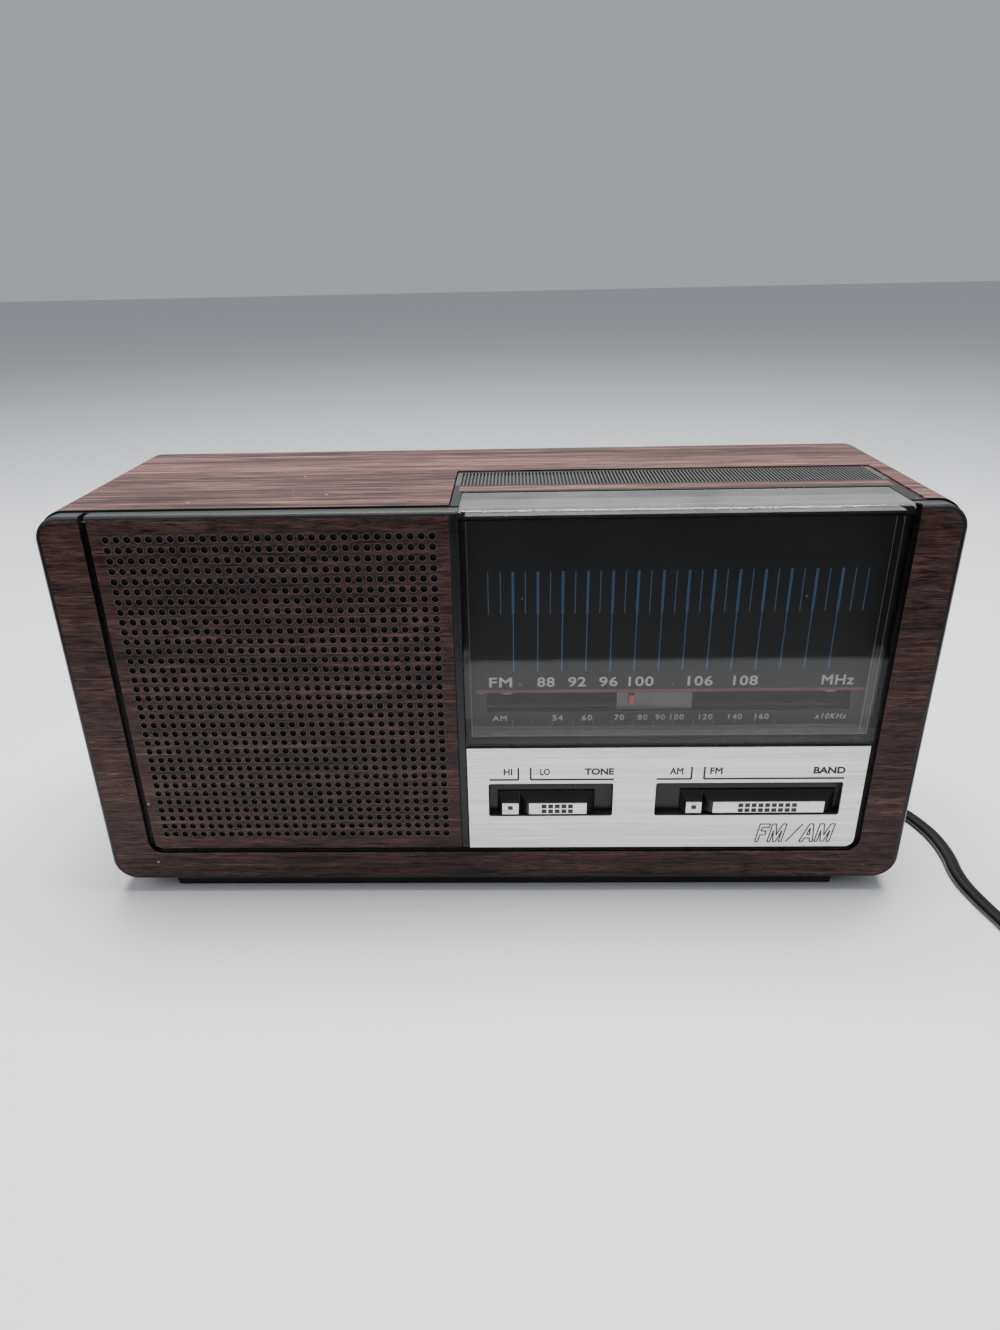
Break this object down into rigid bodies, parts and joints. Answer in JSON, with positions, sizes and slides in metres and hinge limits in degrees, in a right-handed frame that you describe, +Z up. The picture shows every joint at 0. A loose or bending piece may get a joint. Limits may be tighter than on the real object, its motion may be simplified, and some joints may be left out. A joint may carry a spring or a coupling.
{
  "type": "table radio",
  "caption": "Wood-grain table radio with a perforated grille, a windowed slide-rule dial, slide switches, edge wheels for tuning and volume, and a coiled mains cord.",
  "frame": {"origin": "middle of the base plinth's underside, on the surface the radio stands on", "axes": "+X to the right seen from the front, +Y from the front to the rear, +Z up"},
  "size_m": [0.3913, 0.2469, 0.1425],
  "materials": {
    "rosewood_vinyl": "satin printed wood grain",
    "rosewood_face": "satin printed wood grain",
    "black_plastic": "satin moulded",
    "brushed_silver": "horizontally brushed",
    "cloth_black": "woven",
    "clear_plastic": "clear polished",
    "dial_black": "satin printed",
    "ribbed_black": "moulded ribs",
    "knob_black": "satin",
    "knob_inlay": "satin",
    "pointer_red": "satin",
    "carriage_grey": "satin",
    "steel": "turned",
    "nylon": "moulded",
    "cord_thread": "braided",
    "board_brown": "phenolic laminate",
    "component_blue": "sleeved",
    "can_silver": "drawn can",
    "chip_black": "moulded",
    "ferrite": "sintered",
    "copper_coil": "enamelled wire",
    "speaker_steel": "plated",
    "paper_cone": "pressed paper",
    "core_steel": "varnished laminations",
    "winding_yellow": "tape",
    "screw_steel": "zinc plated",
    "cord_pvc": "glossy",
    "plug_pvc": "moulded",
    "plug_brass": "plated"
  },
  "bodies": {
    "cabinet": {"sleeve": "rosewood_vinyl", "front_bezel": "black_plastic", "front_trim": "rosewood_face", "grille_panel": "rosewood_face", "grille_cloth": "cloth_black", "dial_window": "clear_plastic", "dial_plate": "dial_black", "dial_hood": "ribbed_black", "hood_trim_strip": "rosewood_vinyl", "control_panel": "brushed_silver", "base_plinth": "black_plastic", "power_cord": "cord_pvc", "power_cord_coil": "cord_pvc", "power_plug": "plug_pvc", "plug_blades": "plug_brass", "dial_frame": "black_plastic", "pointer_rail": "steel", "pulley_pins": "steel", "dial_cord": "cord_thread", "tuning_capacitor": "nylon", "tuning_wheel_pin": "steel", "volume_control": "can_silver", "tone_switch": "can_silver", "band_switch": "can_silver", "main_board": "board_brown", "board_screws": "screw_steel", "electrolytic_capacitors": "component_blue", "if_transformers": "can_silver", "heat_sink": "can_silver", "amplifier_chip": "chip_black", "ferrite_rod": "ferrite", "antenna_coil": "copper_coil", "rod_holders": "nylon", "speaker_frame": "speaker_steel", "speaker_cone": "paper_cone", "speaker_magnet": "ferrite", "speaker_screws": "screw_steel", "transformer_core": "core_steel", "transformer_winding": "winding_yellow", "transformer_bracket": "screw_steel", "transformer_screws": "screw_steel", "rear_cover": "black_plastic", "rear_screws": "screw_steel", "base_screws": "screw_steel", "cord_strain_relief": "cord_pvc"},
    "tone_slider": {"tone_knob": "knob_black", "tone_knob_inlays": "knob_inlay"},
    "band_slider": {"band_knob": "knob_black", "band_knob_inlays": "knob_inlay"},
    "pointer": {"pointer_carriage": "carriage_grey", "dial_pointer": "pointer_red"},
    "tuning_knob": {"tuning_wheel": "black_plastic"},
    "drum": {"tuning_drum": "nylon"},
    "pulley_left": {"left_pulley": "nylon"},
    "pulley_right": {"right_pulley": "nylon"},
    "volume_knob": {"volume_wheel": "black_plastic"}
  },
  "joints": [
    {"name": "tone_slide", "type": "slide", "parent": "cabinet", "child": "tone_slider", "axis": [1, 0, 0], "range_m": [0, 0.0043]},
    {"name": "band_slide", "type": "slide", "parent": "cabinet", "child": "band_slider", "axis": [1, 0, 0], "range_m": [-0.0043, 0]},
    {"name": "tuning_turn", "type": "hinge", "parent": "cabinet", "child": "tuning_knob", "pos_m": [0.12825, -0.026, 0.1], "axis": [0, 1, 0], "range_deg": [-710, 490]},
    {"name": "drum_turn", "type": "hinge", "parent": "cabinet", "child": "drum", "pos_m": [0.06, -0.031, 0.106], "axis": [0, 1, 0], "range_deg": [-105, 73]},
    {"name": "pointer_slide", "type": "slide", "parent": "cabinet", "child": "pointer", "axis": [1, 0, 0], "range_m": [-0.032, 0.0462]},
    {"name": "left_pulley_turn", "type": "hinge", "parent": "cabinet", "child": "pulley_left", "pos_m": [0.003, -0.031, 0.07875], "axis": [0, 1, 0], "range_deg": [-479, 331]},
    {"name": "right_pulley_turn", "type": "hinge", "parent": "cabinet", "child": "pulley_right", "pos_m": [0.116, -0.031, 0.07875], "axis": [0, 1, 0], "range_deg": [-479, 331]},
    {"name": "volume_turn", "type": "hinge", "parent": "cabinet", "child": "volume_knob", "pos_m": [0.13025, -0.026, 0.048], "axis": [0, 1, 0], "range_deg": [0, 290]}
  ],
  "couplings": [
    {"joint": "drum_turn", "follows": "tuning_turn", "ratio": 0.1451},
    {"joint": "pointer_slide", "follows": "tuning_turn", "m_per_rad": -0.0037},
    {"joint": "left_pulley_turn", "follows": "tuning_turn", "ratio": 0.67273},
    {"joint": "right_pulley_turn", "follows": "tuning_turn", "ratio": 0.67273}
  ]
}
